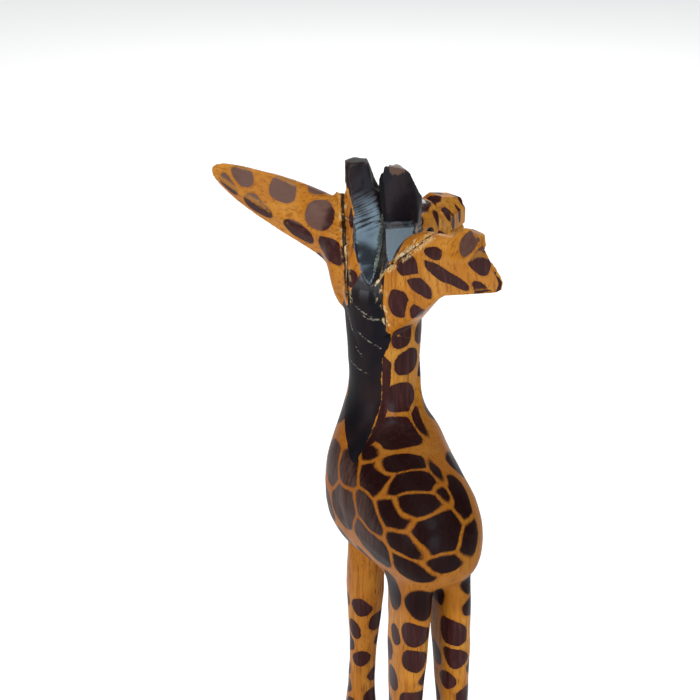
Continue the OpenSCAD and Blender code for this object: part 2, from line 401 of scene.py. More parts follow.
def carve_ear(h, side, ridge, up_slope, low_slope):
    """Cuts the two slopes that fall from the ridge on the ear's back. Returns the hollow in
    the ear's front, as a share of its depth at each point."""
    out = h[:, 0] * side
    path = np.array(sorted(ridge))
    depth = np.interp(out, path[:, 0], path[:, 1])
    line = np.interp(out, path[:, 0], path[:, 2])
    rise = h[:, 2] - line
    roof = depth - np.where(rise > 0, up_slope * rise, -low_slope * rise)
    roof = roof + 0.10 * wander(h, 9, 11)
    fade = ramp(out, 12, 26)
    over = (h[:, 1] - roof) * fade
    if side < 0:
        # The four knife cuts round the tip of the right ear
        shave(h, (-53.0, 12, 20.8), (-0.67, -0.73, 0.14), (h[:, 2] > 14.5) & (out > 44))
        shave(h, (-60.5, 16, 12.2), (-0.56, -0.76, 0.33), (h[:, 2] > 9) & (out > 48))
        shave(h, (-60.5, 16, 12.2), (-0.78, -0.61, -0.15),
              (h[:, 2] < 15) & (h[:, 2] > -7) & (out > 46))
        shave(h, (-47.5, 13, 3.3), (-0.33, 0.33, -0.88), (h[:, 2] > -7) & (out > 33))
    leaf = (out > 13) & (h[:, 2] > -22)
    h[:, 1] -= np.where(leaf & (over > 0), np.minimum(over, 4), 0)
    middle = np.interp(out, [12, 60], [2, 12])
    dish = 1 - ((out - 33) / 19) ** 2 - ((h[:, 2] - middle) / 7) ** 2
    return np.where(leaf & (dish > 0), dish, 0)


def carve(piece):
    mesh = piece.data
    points = coordinates(mesh)
    way = normals(mesh) @ head_axes.T
    h = to_head(points)
    # Knife work leaves the faces a little uneven
    h += way * (0.16 * wander(h, 13, 1) + 0.05 * wander(h, 5, 2))[:, None]
    # The mane is cut in long flats, so its noise is stretched upwards and folded
    mane = ramp(h[:, 1], 0, 4) * ramp(h[:, 0], -9, -6) * ramp(-h[:, 2], 10, 16)
    h += way * (1.1 * np.abs(wander(h * (1, 1, 0.5), 14, 6)) * mane)[:, None]
    carve_horns(h)
    for side, ridge, slopes in ((1, LEFT_RIDGE, (0.30, 0.42)), (-1, RIGHT_RIDGE, (0.55, 0.15))):
        dish = carve_ear(h, side, ridge, *slopes)
        front = way[:, 1] < -0.2
        h[:, 1] += np.where(front, 1.5 * dish, 0)
    carve_seams(h, way)
    carve_face(h, way)
    set_coordinates(mesh, from_head(h))
    # Evens out where the neck's top was cut away in the notch
    ledge = (np.abs(h[:, 2]) < 3) & (np.abs(h[:, 0]) < 7) & (h[:, 1] > 3)
    smooth_where(piece, ledge.astype(float), times=12)
    carve_hooves(piece)


def carve_seams(h, way):
    """Opens a ragged groove along the glued seam of each ear."""
    ragged = 0.5 * wander(h, 4, 21) + 0.3 * wander(h, 1.6, 22)
    left, right = seam_gaps(h)
    for gap, wide, deep, foot in ((left, 1.5, 2.4, LEFT_FOOT), (right, 0.8, 0.8, RIGHT_FOOT)):
        share = ramp(h[:, 2], foot + 2, 4)
        width = wide * (0.35 + 0.65 * share) + 0.25 * ragged
        depth = deep * (0.35 + 0.65 * share) * ramp(h[:, 2], foot - 1, foot + 2)
        near = np.clip(1 - np.abs(gap + 0.25 * ragged) / np.maximum(width, 0.25), 0, 1)
        h -= way * (near * depth)[:, None]


def dent(h, way, place, radius, depth):
    """Presses a round hollow, or raises a round bump where depth is negative."""
    away = np.linalg.norm((h - np.array(place)) / np.array(radius), axis=1)
    h -= way * (depth * np.clip(1 - away ** 2, 0, 1) ** 1.5)[:, None]


def carve_face(h, way):
    # The eye sockets, the eyes and the nostrils
    for side in (1, -1):
        dent(h, way, (side * 9.6, -13.5, 2.5), (3, 4.5, 3.4), 0.7)
        dent(h, way, (side * 9.8, -13.5, 2.5), (2.2, 3.1, 2.3), -1.3)
        dent(h, way, (side * 4.6, -37, 4.6), (1.6, 2.2, 1.5), 1.3)
    # The facets of the muzzle
    muzzle = h[:, 1] < -23
    for side in (1, -1):
        shave(h, (side * 5.5, -27, 6.8), (side * 0.72, -0.22, 0.66), muzzle)
        shave(h, (side * 7.5, -28, 2), (side * 0.96, -0.28, 0.0), muzzle)
    shave(h, (0, -27, 9.5), (0, -0.3, 0.95), muzzle)
    # The crease behind the muzzle
    crease = np.clip(1 - np.abs(h[:, 1] + 22.5 + 0.3 * (h[:, 2] - 4)) / 3.0, 0, 1)
    h -= way * (2.2 * crease * (np.abs(h[:, 0]) < 14))[:, None]
    # The mouth
    height = -2.6 + 0.012 * (h[:, 1] + 37) ** 2
    mouth = np.clip(1 - np.abs(h[:, 2] - height) / 0.7, 0, 1) * ramp(-h[:, 1], 23, 26)
    h -= way * (0.8 * mouth * (h[:, 1] < -20))[:, None]


def carve_hooves(piece):
    """Cuts the cleft up the front and the back of each hoof, and keeps the soles flat."""
    mesh = piece.data
    points = to_body(coordinates(mesh))
    way = normals(mesh)
    for x in (-SOLE[0], SOLE[0]):
        for y in (-SOLE[1], SOLE[1]):
            near = (np.abs(points[:, 0] - x) < 8) & (np.abs(points[:, 1] - y) < 10)
            gap = np.clip(1 - np.abs(points[:, 0] - x) / 0.9, 0, 1)
            rise = ramp(-points[:, 2], -9, -6) * ramp(points[:, 2], 0.2, 0.8)
            faces = np.abs(way[:, 1]) > 0.4
            points -= way * (gap * rise * near * faces)[:, None]
    points[:, 2] = np.maximum(points[:, 2], 0)
    set_coordinates(mesh, from_body(points))


blank_piece = blank()
refine(blank_piece)
carve(blank_piece)


# ---- Parting at the seams
# How far the cutters reach, the height at which the horns part from the head, and the X
# between them
FAR = 90.0
HORN_SEAT = 9.0
NOTCH_MIDDLE = -1.0


def left_ear_space():
    """The convex space on the left ear's side of its glued face."""
    edge = np.array([LEFT_WAY[1], -LEFT_WAY[0], 0.0])
    corners = []
    for along_face in (-40.0, 60.0):
        for z, step in ((FAR, 0), (LEFT_FOOT, 0), (LEFT_FOOT - 10, 5), (FAR, FAR), (-FAR, FAR)):
            out = LEFT_OUT + LEFT_LEAN * z + step
            corners.append(LEFT_WAY * out + edge * along_face + np.array([0, 0, z]))
    return from_head(corners)


def right_ear_space():
    """The convex space on the right ear's side of its glued face."""
    profile = [(RIGHT_OUT + RIGHT_LEAN * 40, RIGHT_BEND + 40), (RIGHT_OUT, RIGHT_BEND),
               (RIGHT_OUT, RIGHT_FOOT), (RIGHT_OUT + 6, RIGHT_FOOT - 12), (FAR, -FAR),
               (FAR, FAR / 2)]
    return from_head([(-out, y, z) for out, z in profile for y in (-17.0, 60.0)])


def horn_space(side):
    inner, outer = (NOTCH_MIDDLE, 14.5) if side > 0 else (-14.5, NOTCH_MIDDLE)
    return block((inner, -12, HORN_SEAT), (outer, 14, FAR))


def parted(whole, name, space, operation):
    """A new piece: what of the whole is in the space (INTERSECT) or out of it (DIFFERENCE)."""
    cutter = linked("cutter", bpy.data.meshes.new("cutter"))
    convex(space).to_mesh(cutter.data)
    piece = linked(name, whole.data.copy())
    with_modifier(piece, "BOOLEAN", object=cutter, operation=operation, solver="MANIFOLD")
    bpy.data.objects.remove(cutter)
    return piece


pieces = {}
rest = blank_piece
for name, space in (("left_horn", horn_space(1)), ("right_horn", horn_space(-1)),
                    ("left_ear", left_ear_space()), ("right_ear", right_ear_space())):
    pieces[name] = parted(rest, f"carved_{name}", space, "INTERSECT")
    keep_largest(pieces[name])
    smaller = parted(rest, "rest", space, "DIFFERENCE")
    bpy.data.objects.remove(rest)
    rest = smaller
rest.name = "carved_trunk"
keep_largest(rest)
pieces["trunk"] = rest


# ---- The paint
# Spots as place, half width, half height (mm) and tilt (degrees). Those of the ears are on
# their backs, by distance out and height. Those of the neck are by angle from the back
# towards the left, and height. Those of the body and the head are X, Y and Z in its frame.
LEFT_EAR_SPOTS = [(48.5, 15, 4.7, 3.5, 12), (33.5, 14, 4.9, 4.1, 14), (19.5, 8.2, 5.2, 4.8, 0),
                  (54, 9.3, 4.6, 2.6, 38), (42.5, 4, 6.0, 3.4, 24), (27, -1.3, 6.3, 3.5, 24),
                  (13, -2.3, 6.0, 3.8, 18)]
RIGHT_EAR_SPOTS = [(44.6, 21.4, 6.2, 4.2, 20), (51.4, 17.0, 4.8, 6.4, -24),
                   (30, 10.8, 4.7, 2.2, 20), (37, 5.1, 10, 2.5, -6), (20, 2.7, 4.6, 3.8, 0),
                   (25, -3.2, 5.2, 3.6, -10), (16.3, -12, 3.6, 5.2, 0), (22.5, -15, 3.6, 3.2, 0)]
NECK_SPOTS = [(-8, 235, 4.2, 5.2, 0), (-52, 233, 3.4, 4.6, 0), (-20, 224.3, 4.9, 4.8, 15),
              (-6, 211.6, 5.4, 5.4, 0)]
BODY_SPOTS = [(2.8, -3.8, 201.8, 6.3, 4.9, 0), (-5.5, -7, 203, 1.8, 5, 0),
              (6.6, 7.2, 197.7, 7.6, 3.0, 0), (6.9, 15.5, 195.3, 7.8, 3.4, 0),
              (8.4, 23.8, 191.6, 7.3, 3.8, 0), (3.5, 33, 185.7, 7.6, 6, 0),
              (3.1, 36, 176.3, 6.8, 3.2, 0), (-3.3, 13, 197, 1.6, 5.6, 0),
              (-2.1, 23, 193.4, 2, 3.6, 0), (-7.4, 24, 192, 3.4, 7.2, -15),
              (-7.1, 33.7, 182, 3.4, 5.6, -20), (21.7, -16, 187.6, 5, 6.2, 0),
              (19.4, -6, 190, 5, 5.6, 20), (13.6, -3, 197.6, 3, 3, 0), (15, 5, 193, 6.8, 4, -35),
              (21.3, -5, 177, 8, 6, 30), (18.6, 9.4, 182.7, 8, 4.6, -40),
              (14.3, 20.6, 187.5, 7.4, 3.8, -35), (18.3, 12.5, 173, 9, 5, -35),
              (12.8, 29.5, 181.6, 7, 3.6, -30), (12, 31.5, 173.4, 6.2, 4.2, -30)]
HEAD_SPOTS = [(-3, -17, 11, 4.4, 2.6, 0), (-8.5, -20, 4.5, 1.5, 4.6, 10),
              (-9, -26, 3.5, 1.2, 5.0, 6), (-8, -32, 3, 1.0, 3.6, 0)]
# Those of the body are drawn larger by BODY_GROWTH, till the bare lines between neighbours are
# NET wide
BODY_GROWTH = 1.3
NET = 1.3
NECK_RADIUS = 13.0
# How many points of the surface may start a scattered spot
CANDIDATES = 9000


def surface_tree():
    bm = bmesh.new()
    for piece in pieces.values():
        bm.from_mesh(piece.data)
    return BVHTree.FromBMesh(bm)


surface = surface_tree()


def seed(place, reference, across, tall, tilt):
    """A painted spot: where it is on the surface, its two directions and its half sizes."""
    point, way, _, _ = surface.find_nearest(Vector(place))
    rise = (Vector(reference) - way * way.dot(Vector(reference))).normalized()
    side = rise.cross(way)
    turn = math.radians(tilt)
    first = side * math.cos(turn) + rise * math.sin(turn)
    second = rise * math.cos(turn) - side * math.sin(turn)
    return [np.array(v) for v in (point, way, first, second)] + [across, tall]


def hand_seeds():
    """The spots that are placed one by one."""
    seeds = []
    for side, spots in ((1, LEFT_EAR_SPOTS), (-1, RIGHT_EAR_SPOTS)):
        for out, z, across, tall, tilt in spots:
            place = from_head([side * out, 9 + 0.24 * (out - 14), z])
            seeds.append(seed(place, (0, 0, 1), across, tall, -side * tilt))
    for angle, z, across, tall, tilt in NECK_SPOTS:
        turn = math.radians(angle)
        place = from_body([NECK_X + NECK_RADIUS * math.sin(turn),
                           NECK_Y + NECK_RADIUS * math.cos(turn), z])
        seeds.append(seed(place, (0, -0.4, 1), across, tall, tilt))
    for x, y, z, across, tall, tilt in BODY_SPOTS:
        across, tall = BODY_GROWTH * across, BODY_GROWTH * tall
        seeds.append(seed(from_body([x, y, z]), (0, -0.6, 1), across, tall, tilt))
    for x, y, z, across, tall, tilt in HEAD_SPOTS:
        seeds.append(seed(from_head([x, y, z]), (0, 0, 1), across, tall, tilt))
    return seeds


def spacing(local, body):
    """How far apart the scattered spots stand: close on the head and legs, wide on the body."""
    gap = np.full(len(body), 10.5)
    gap = np.where(body[:, 2] > 205, 9.5, gap)
    gap = np.where(local[:, 2] > -18, 7.5, gap)
    gap = np.where(local[:, 1] < -22, 6.5, gap)
    gap = np.where((np.abs(local[:, 0]) > 15) & (local[:, 2] > -18), 9.0, gap)
    return np.where(body[:, 2] < 142, 6.5 + 2.5 * ramp(body[:, 2], 20, 142), gap)


def scattered_seeds(seeds):
    """Fills what the placed spots leave with more of them, set out evenly."""
    rng = random.Random(5)
    points, ways = [], []
    for piece in pieces.values():
        points.append(coordinates(piece.data))
        ways.append(normals(piece.data))
    points, ways = np.concatenate(points), np.concatenate(ways)
    order = list(range(len(points)))
    rng.shuffle(order)
    order = np.array(order[:CANDIDATES])
    points, ways = points[order], ways[order]
    local, body = to_head(points), to_body(points)
    gap = spacing(local, body)
    # Where the placed spots are all there are: the backs of the body, head and ears, and the
    # bare top of the left front leg
    covered = (ways @ camera_back > 0.3) & (body[:, 2] > 160) & (local[:, 1] > -12)
    covered |= (local[:, 2] > -22) & (ways @ camera_back > -0.05) & (local[:, 1] > -12)
    covered |= (body[:, 0] > 0) & (body[:, 1] < -5) & (body[:, 2] > 126) & (body[:, 2] < 158)
    # On the body the spots nearly touch
    grow = 1 + 0.3 * ramp(body[:, 2], 146, 160) * ramp(-body[:, 2], -215, -205)
    free = ~covered
    for place, _, _, _, across, tall in seeds:
        free &= np.linalg.norm(points - place, axis=1) / MM > 0.45 * gap + max(across, tall)
    extra = []
    for k in np.argsort(-gap, kind="stable"):
        if not free[k]:
            continue
        size = gap[k] * grow[k] * rng.uniform(0.40, 0.50)
        extra.append(seed(points[k], (0.1, -0.3, 1), size * rng.uniform(0.85, 1.1),
                          size * rng.uniform(0.85, 1.15), rng.uniform(-30, 30)))
        free &= np.linalg.norm(points - points[k], axis=1) / MM > gap[k]
    return seeds + extra


spot_seeds = scattered_seeds(hand_seeds())


# The spots are between ellipses (2) and boxes. A point near no spot keeps NO_SPOT.
SQUARE = 2.4
NO_SPOT = 1e3


def spot_field(points, ways):
    """How far inside a spot each point is, in mm. It is negative on the bare wood."""
    mm = points / MM
    warp = np.stack([wander(mm, 7, s) for s in (31, 32, 33)], 1) * 0.55
    warp += np.stack([wander(mm, 3, s) for s in (34, 35, 36)], 1) * 0.22
    # Distance to the nearest spot and the second nearest, in the spot's own half sizes
    nearest = np.full(len(points), NO_SPOT)
    second = np.full(len(points), NO_SPOT)
    size = np.ones(len(points))
    for place, way, first, upright, across, tall in spot_seeds:
        apart = mm - place / MM
        close = np.flatnonzero(np.abs(apart).max(axis=1) < 3 * max(across, tall) + 4)
        apart = apart[close] + warp[close]
        along_first = np.abs(apart @ first) / across
        along_up = np.abs(apart @ upright) / tall
        depth = np.abs(apart @ way) / (1.2 * max(across, tall))
        distance = sum(part ** SQUARE for part in (along_first, along_up, depth)) ** (1 / SQUARE)
        distance += np.where(ways[close] @ way < 0, 1.5, 0)
        half = math.sqrt(across * tall)
        better = distance < nearest[close]
        second[close] = np.where(better, nearest[close], np.minimum(second[close], distance))
        size[close] = np.where(better, half, size[close])
        nearest[close] = np.where(better, distance, nearest[close])
    return np.minimum((1 - nearest) * size, (second - nearest) * size / 2 - NET / 2)


# The mane, and the maroon strip beside it: left and right edges, by angle from the back
# towards the left, against height
MANE = [(108, 21, 248), (112, 14, 240), (112, 12, 234), (112, 24, 226),
        (112, 24, 212), (100, 33, 204), (60, 40, 197), (46, 44, 193)]
MAROON_STRIP = [(24, 22, 228), (24, 9, 225), (24, 12, 212), (33, 22, 202), (44, 43, 196)]
# The black on the back of the head, below the horns: left and right edges (X), against height
HEAD_BLACK = [(40, -15, 23), (10.2, -15, 21.6), (7.7, -15, 19.6), (5.6, -15, 15), (4.8, -15, 9),
              (4.2, -15, 5), (2.2, -11.6, 1.0), (-1.8, -9.2, -5), (-0.2, -9.3, -9),
              (3.4, -9.4, -15)]
HEAD_BLACK_FOOT, HORN_BLACK_RIGHT = -15, -15.5


def band_field(body, band):
    """How far inside a band down the neck each point is, in mm."""
    left, right = along(band, body[:, 2])
    angle = np.degrees(np.arctan2(body[:, 0] - NECK_X, body[:, 1] - NECK_Y))
    radius = np.hypot(body[:, 0] - NECK_X, body[:, 1] - NECK_Y)
    inside = np.minimum(left - angle, angle - right) * math.pi / 180 * radius
    top, foot = max(b[-1] for b in band), min(b[-1] for b in band)
    return np.minimum(inside, np.minimum(top - body[:, 2], body[:, 2] - foot))


def mane_field(points):
    """How far inside the black each point is, in mm."""
    h, body = to_head(points), to_body(points)
    mane = band_field(body, MANE)
    left, right = along(HEAD_BLACK, h[:, 2])
    # On the right the black ends round the foot of the horn, and it stays off the forehead
    horn_foot = -13.2 - 0.3 * np.maximum(h[:, 1], 0) - 0.4 * np.minimum(h[:, 1], 0)
    right = np.maximum(right, horn_foot)
    right = np.where(h[:, 2] > HORN_SEAT, HORN_BLACK_RIGHT, right)
    forehead = h[:, 1] + 9 + np.maximum(h[:, 2] - HORN_SEAT, 0) * 9
    head = np.minimum(left - h[:, 0], h[:, 0] - right)
    head = np.minimum(head, np.minimum(h[:, 2] - HEAD_BLACK_FOOT, forehead))
    ragged = 0.35 * wander(points / MM, 4, 41) + 0.2 * wander(points / MM, 1.5, 42)
    return np.maximum(mane, head) + ragged


def seam_fields(h):
    """How near each point is to the glued seams of the left and right ears, in mm. The seams
    end just above their feet."""
    left, right = seam_gaps(h)
    left = np.abs(left) + 3 * np.maximum(LEFT_FOOT + 2 - h[:, 2], 0)
    right = np.abs(right) + 3 * np.maximum(RIGHT_FOOT + 2 - h[:, 2], 0)
    return left, right


ALL_BARE, ALL_BLACK = -9, 9


def paint(name, piece):
    """Stores on the mesh what its materials read: how far inside each kind of mark every point
    is, in mm, or how strong the mark is, from 0 to 1."""
    mesh = piece.data
    points, ways = coordinates(mesh), normals(mesh)
    h, body = to_head(points), to_body(points)
    left, right = seam_fields(h)
    fields = {
        "spot": spot_field(points, ways),
        "mane": mane_field(points),
        "cut": ramp(h[:, 2], -14, -8) * ramp(-h[:, 2], -20, -12),
        # deep: the share of painted shade on the body, from the tops of the legs to the withers
        "deep": ramp(-body[:, 2], -212, -194) * ramp(body[:, 2], 146, 158),
        # Painted sheen on the upper facets of the ears and on the left flank
        "painted_sheen": painted_sheen_field(h, body),
        "edge": edge_field(mesh, points, ways) * ramp(h[:, 2], -33, -29),
        "scratch": scratch_field(points),
        "strip": band_field(body, MAROON_STRIP),
        "left_seam": left,
        "right_seam": right,
        "hoof": 8.5 + 0.7 * wander(body, 5, 51) - body[:, 2],
        "worn": worn_field(h),
        "eye": eye_field(h),
    }
    if name.endswith("ear"):
        fields["mane"][:] = ALL_BARE
    if name == "right_horn":
        fields["mane"][:] = ALL_BLACK
    for field, values in fields.items():
        mesh.attributes.new(field, "FLOAT", "POINT").data.foreach_set("value", values)
    mesh.shade_smooth()
    mesh.set_sharp_from_angle(angle=math.radians(50))


def painted_sheen_field(h, body):
    """Where a painted sheen lightens the dye: above the ridges of the ears, where their upper
    facets would catch the light, and on the left flank.
    """
    left_line = along([(y, z, out) for out, y, z in LEFT_RIDGE], h[:, 0])[1]
    right_line = along([(y, z, out) for out, y, z in RIGHT_RIDGE], -h[:, 0])[1]
    left = ramp(h[:, 0], 15, 19) * ramp(h[:, 2] - left_line, -1.0, 0.6)
    right = ramp(-h[:, 0], 36, 39) * ramp(h[:, 2] - right_line, -0.6, 0.6)
    flank = ramp(body[:, 0], 15, 20) * ramp(body[:, 2], 160, 172) * ramp(-body[:, 2], -205, -195)
    return np.maximum.reduce([left, 0.8 * right, 0.45 * flank])


def edge_field(mesh, points, ways):
    """How much each point stands out from those round it, evened out a little."""
    ends = np.empty(len(mesh.edges) * 2, int)
    mesh.edges.foreach_get("vertices", ends)
    first, second = ends.reshape(-1, 2).T
    count = np.bincount(ends, minlength=len(points))

    def round_about(values):
        return (np.bincount(first, values[second], len(points))
                + np.bincount(second, values[first], len(points))) / np.maximum(count, 1)

    mean = points
    for _ in range(4):
        mean = np.stack([round_about(mean[:, k]) for k in range(3)], 1)
    stands = ((points - mean) * ways).sum(axis=1) / MM
    for _ in range(3):
        stands = (stands + round_about(stands)) / 2
    return stands


# Scratches across the mane, by their ends in the head's frame, each drawn as a row of points
SCRATCHES = [((-1.2, 12, -16.5), (-10.8, 6.9, -23)), ((-3.6, 11.4, -19.6), (-7.4, 9.2, -20.8)),
             ((-0.3, 11, -26.6), (-7.9, 8.2, -31.2)), ((5.3, 8.3, -39.6), (-3.3, 9.9, -41.8)),
             ((1.5, 10.8, -33), (-1.6, 10.6, -35.6)), ((3.6, 9.6, -22), (2.6, 10, -27))]


SCRATCH_POINTS = 40
NO_SCRATCH = 9.0


def scratch_field(points):
    """How near each point is to a scratch, in mm."""
    nearest = np.full(len(points), NO_SCRATCH)
    for first, last in SCRATCHES:
        for share in np.linspace(0, 1, SCRATCH_POINTS):
            place = from_head(np.array(first) * (1 - share) + np.array(last) * share)
            point = np.array(surface.find_nearest(Vector(place))[0])
            close = np.flatnonzero(np.abs(points - point).max(axis=1) < 2 * MM)
            away = np.linalg.norm(points[close] - point, axis=1) / MM
            nearest[close] = np.minimum(nearest[close], away)
    return nearest


def worn_field(h):
    """End grain that shows through on top of the right horn."""
    place = np.array([-7.6, 1.2, 29.0])
    return 2.3 - np.linalg.norm((h - place) / np.array([1.2, 1.1, 1.0]), axis=1)


def eye_field(h):
    """How far inside the painted black of an eye each point is."""
    return np.maximum(*[2.3 - np.linalg.norm(
        (h - np.array([side * 9.8, -13.5, 2.5])) / np.array([1.2, 1.35, 1.0]), axis=1)
        for side in (1, -1)])


for name, piece in pieces.items():
    paint(name, piece)


# ---- The materials
class Shader:
    """A short way to build a node material."""

    def __init__(self, name):
        self.material = bpy.data.materials.new(name)
        self.material.use_nodes = True
        self.tree = self.material.node_tree
        self.surface = self.tree.nodes["Principled BSDF"]
        self.place = self.add("ShaderNodeTexCoord").outputs["Object"]

    def add(self, kind, inputs=None, **settings):
        node = self.tree.nodes.new(kind)
        for key, value in settings.items():
            setattr(node, key, value)
        for key, value in (inputs or {}).items():
            if hasattr(value, "is_output"):
                self.tree.links.new(value, node.inputs[key])
            else:
                node.inputs[key].default_value = value
        return node

    def sum(self, kind, first, second, third=0.0):
        inputs = {0: first, 1: second}
        if kind == "MULTIPLY_ADD":
            inputs[2] = third
        return self.add("ShaderNodeMath", inputs, operation=kind).outputs[0]

    def stretched(self, scale, turn=(0, 0, 0)):
        """The place on the object in mm, scaled along each of its directions."""
        size = tuple(s / MM for s in scale)
        return self.add("ShaderNodeMapping", {"Vector": self.place, "Scale": size,
                                              "Rotation": turn}).outputs[0]

    def noise(self, vector, detail, rough):
        return self.add("ShaderNodeTexNoise", {"Vector": vector, "Scale": 1.0, "Detail": detail,
                                               "Roughness": rough}).outputs["Fac"]

    def span(self, value, low, high, to_low=0.0, to_high=1.0):
        """Maps low..high smoothly to to_low..to_high."""
        return self.add("ShaderNodeMapRange", {"Value": value, "From Min": low, "From Max": high,
                                               "To Min": to_low, "To Max": to_high},
                        interpolation_type="SMOOTHSTEP").outputs["Result"]

    def attribute(self, name):
        return self.add("ShaderNodeAttribute", attribute_name=name).outputs["Fac"]

    def mix(self, share, first, second):
        node = self.add("ShaderNodeMix", data_type="RGBA", blend_type="MIX")
        for key, value in (("Factor", share), ("A", first), ("B", second)):
            socket = [s for s in node.inputs if s.name == key and s.enabled][0]
            if hasattr(value, "is_output"):
                self.tree.links.new(value, socket)
            else:
                socket.default_value = value if key == "Factor" else (*value, 1.0)
        return [s for s in node.outputs if s.enabled][0]

    def set(self, **inputs):
        for key, value in inputs.items():
            socket = self.surface.inputs[key.replace("_", " ").title().replace("Ior", "IOR")]
            if hasattr(value, "is_output"):
                self.tree.links.new(value, socket)
            else:
                socket.default_value = value

    def bump(self, height, distance, strength):
        inputs = {"Height": height, "Distance": distance * MM, "Strength": strength}
        return self.add("ShaderNodeBump", inputs).outputs[0]


HONEY = (0.39, 0.127, 0.010)
HONEY_LIGHT = (0.48, 0.185, 0.024)
HONEY_DEEP = (0.23, 0.062, 0.005)
PORE = (0.085, 0.030, 0.008)
MAROON = (0.029, 0.0062, 0.0052)
MAROON_LIGHT = (0.062, 0.016, 0.012)
MAROON_SHADED = (0.009, 0.0020, 0.0016)
MAROON_SHEEN = (0.125, 0.058, 0.040)
BLACK = (0.006, 0.0042, 0.0055)
BLACK_BROWN = (0.017, 0.008, 0.008)
WORN_BLACK = (0.075, 0.050, 0.042)
RESIDUE = (0.62, 0.42, 0.20)
CRACK_SHADE = (0.010, 0.006, 0.004)
END_GRAIN = (0.16, 0.075, 0.045)
SCRATCHED = (0.42, 0.33, 0.24)
BLACK_DUSTY = (0.045, 0.028, 0.024)
DOWEL_LIGHT, DOWEL_DARK = (0.56, 0.38, 0.19), (0.38, 0.22, 0.09)
FLOOR_DARK, FLOOR_LIGHT = (0.48, 0.48, 0.48), (0.50, 0.50, 0.495)


